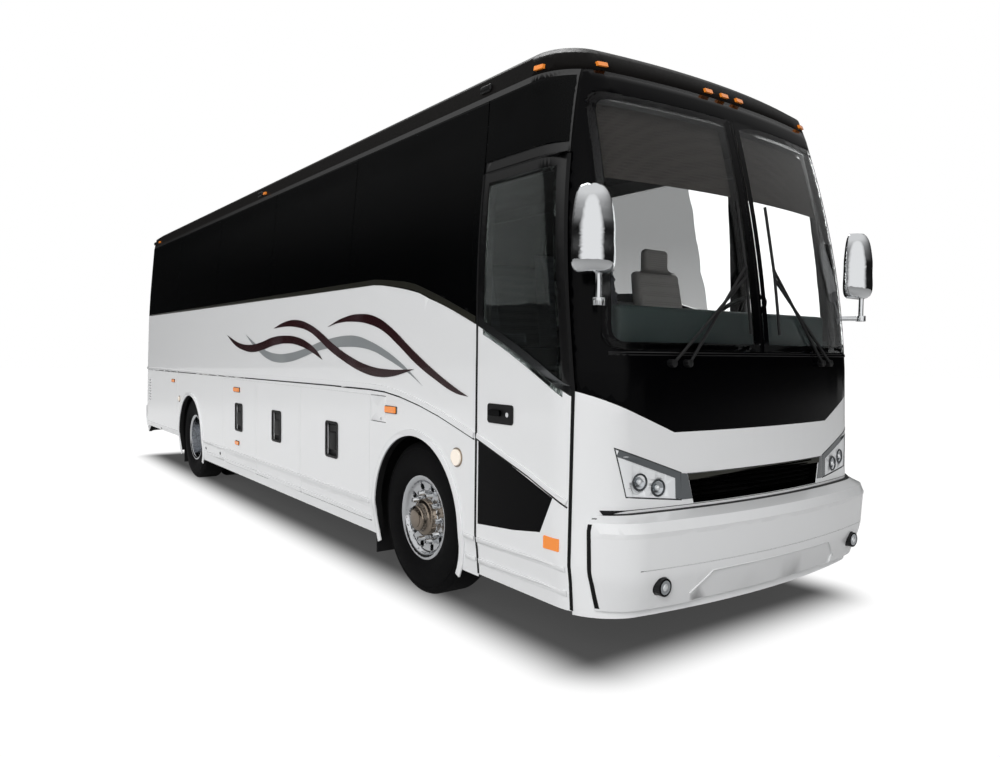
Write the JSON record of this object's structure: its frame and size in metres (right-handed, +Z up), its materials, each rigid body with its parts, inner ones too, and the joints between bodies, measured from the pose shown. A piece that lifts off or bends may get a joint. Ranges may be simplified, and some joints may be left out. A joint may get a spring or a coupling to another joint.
{
  "type": "coach bus",
  "caption": "Intercity coach bus with dark glazed sides, steering front wheels, twin rear wheels, a swinging entrance door, luggage doors and an engine lid.",
  "frame": {"origin": "on the ground under the middle of the overall length and width", "axes": "+X towards the front of the bus, +Y to its left, +Z up"},
  "size_m": [10.6998, 2.7748, 3.4896],
  "materials": {
    "white_paint": "gloss",
    "black_gloss": "gloss",
    "dark_glass": "gloss",
    "clear_glass": "gloss",
    "lamp_grey": "satin",
    "black_plastic": "satin",
    "steel": "satin",
    "axle_iron": "matte",
    "frame_steel": "matte",
    "floor_grey": "matte",
    "dash_plastic": "matte",
    "seat_fabric": "matte",
    "chrome": "polished",
    "amber_lens": "gloss",
    "red_lens": "gloss",
    "rubber": "matte",
    "tyre": "matte",
    "rim_alloy": "polished"
  },
  "bodies": {
    "bus": {"side_wall_right": "white_paint", "side_wall_left": "white_paint", "window_glass": "dark_glass", "roof_panel": "black_gloss", "rear_wall": "white_paint", "front_bumper": "white_paint", "rear_bumper": "white_paint", "front_mask": "black_gloss", "windscreen": "clear_glass", "front_panel": "white_paint", "headlamps": "lamp_grey", "grille": "black_plastic", "front_axle": "axle_iron", "rear_axle": "axle_iron", "chassis_frame": "frame_steel", "wheel_housings": "frame_steel", "saloon_floor": "floor_grey", "entrance_steps": "floor_grey", "luggage_bay": "floor_grey", "engine_block": "axle_iron", "dashboard": "dash_plastic", "steering_wheel": "black_plastic", "driver_seat": "seat_fabric", "passenger_seats": "seat_fabric", "mirrors": "chrome", "wipers": "black_plastic", "marker_lamps": "amber_lens", "fog_lamps": "lamp_grey", "rear_lamps": "red_lens", "mud_flaps": "rubber"},
    "steer_right": {"knuckle_right": "axle_iron"},
    "wheel_front_right": {"tyre_front_right": "tyre", "rim_front_right": "rim_alloy"},
    "wheel_rear_right": {"tyre_rear_right": "tyre", "rim_rear_right": "rim_alloy"},
    "steer_left": {"knuckle_left": "axle_iron"},
    "wheel_front_left": {"tyre_front_left": "tyre", "rim_front_left": "rim_alloy"},
    "wheel_rear_left": {"tyre_rear_left": "tyre", "rim_rear_left": "rim_alloy"},
    "door_swing": {"door_arms": "steel"},
    "entrance_door": {"door_leaf": "white_paint", "door_glass": "dark_glass"},
    "luggage_door_right_1": {"luggage_door_right_1": "white_paint"},
    "luggage_door_right_2": {"luggage_door_right_2": "white_paint"},
    "luggage_door_right_3": {"luggage_door_right_3": "white_paint"},
    "rear_flap_right": {"rear_flap_right": "white_paint"},
    "luggage_door_left_1": {"luggage_door_left_1": "white_paint"},
    "luggage_door_left_2": {"luggage_door_left_2": "white_paint"},
    "luggage_door_left_3": {"luggage_door_left_3": "white_paint"},
    "rear_flap_left": {"rear_flap_left": "white_paint"},
    "engine_lid": {"engine_lid": "white_paint"},
    "filler_flap": {"filler_flap": "white_paint"}
  },
  "joints": [
    {"name": "steering_right", "type": "hinge", "parent": "bus", "child": "steer_right", "pos_m": [3.32, -0.873, 0.528], "axis": [0, 0, 1], "range_deg": [-45, 45]},
    {"name": "steering_left", "type": "hinge", "parent": "bus", "child": "steer_left", "pos_m": [3.32, 0.873, 0.528], "axis": [0, 0, 1], "range_deg": [-45, 45]},
    {"name": "spin_front_right", "type": "hinge", "parent": "steer_right", "child": "wheel_front_right", "pos_m": [3.32, -1.095, 0.528], "axis": [0, 1, 0], "continuous": true},
    {"name": "spin_rear_right", "type": "hinge", "parent": "bus", "child": "wheel_rear_right", "pos_m": [-2.49, -0.92, 0.528], "axis": [0, 1, 0], "continuous": true},
    {"name": "spin_front_left", "type": "hinge", "parent": "steer_left", "child": "wheel_front_left", "pos_m": [3.32, 1.095, 0.528], "axis": [0, 1, 0], "continuous": true},
    {"name": "spin_rear_left", "type": "hinge", "parent": "bus", "child": "wheel_rear_left", "pos_m": [-2.49, 0.92, 0.528], "axis": [0, 1, 0], "continuous": true},
    {"name": "door_swing", "type": "hinge", "parent": "bus", "child": "door_swing", "pos_m": [4.835, -1.1, 1.4], "axis": [0, 0, 1], "range_deg": [0, 100]},
    {"name": "door_follow", "type": "hinge", "parent": "door_swing", "child": "entrance_door", "pos_m": [4.235, -1.1, 1.4], "axis": [0, 0, -1], "range_deg": [0, 100]},
    {"name": "luggage_door_right_1_hinge", "type": "hinge", "parent": "bus", "child": "luggage_door_right_1", "pos_m": [0.5, -1.295, 1.355], "axis": [-1, 0, 0], "range_deg": [0, 90]},
    {"name": "luggage_door_right_2_hinge", "type": "hinge", "parent": "bus", "child": "luggage_door_right_2", "pos_m": [0.5, -1.295, 1.355], "axis": [-1, 0, 0], "range_deg": [0, 90]},
    {"name": "luggage_door_right_3_hinge", "type": "hinge", "parent": "bus", "child": "luggage_door_right_3", "pos_m": [0.5, -1.295, 1.355], "axis": [-1, 0, 0], "range_deg": [0, 90]},
    {"name": "rear_flap_right_hinge", "type": "hinge", "parent": "bus", "child": "rear_flap_right", "pos_m": [-4, -1.295, 1.355], "axis": [-1, 0, 0], "range_deg": [0, 90]},
    {"name": "luggage_door_left_1_hinge", "type": "hinge", "parent": "bus", "child": "luggage_door_left_1", "pos_m": [0.5, 1.295, 1.355], "axis": [1, 0, 0], "range_deg": [0, 90]},
    {"name": "luggage_door_left_2_hinge", "type": "hinge", "parent": "bus", "child": "luggage_door_left_2", "pos_m": [0.5, 1.295, 1.355], "axis": [1, 0, 0], "range_deg": [0, 90]},
    {"name": "luggage_door_left_3_hinge", "type": "hinge", "parent": "bus", "child": "luggage_door_left_3", "pos_m": [0.5, 1.295, 1.355], "axis": [1, 0, 0], "range_deg": [0, 90]},
    {"name": "rear_flap_left_hinge", "type": "hinge", "parent": "bus", "child": "rear_flap_left", "pos_m": [-4, 1.295, 1.355], "axis": [1, 0, 0], "range_deg": [0, 90]},
    {"name": "engine_lid_hinge", "type": "hinge", "parent": "bus", "child": "engine_lid", "pos_m": [-5.1335, 0, 2.034], "axis": [0, 1, 0], "range_deg": [0, 85]},
    {"name": "filler_flap_hinge", "type": "hinge", "parent": "bus", "child": "filler_flap", "pos_m": [2.9, -1.295, 1.26], "axis": [0, 0, 1], "range_deg": [0, 110]}
  ],
  "couplings": [
    {"joint": "steering_right", "follows": "steering_left", "ratio": 1},
    {"joint": "door_follow", "follows": "door_swing", "ratio": 1}
  ]
}
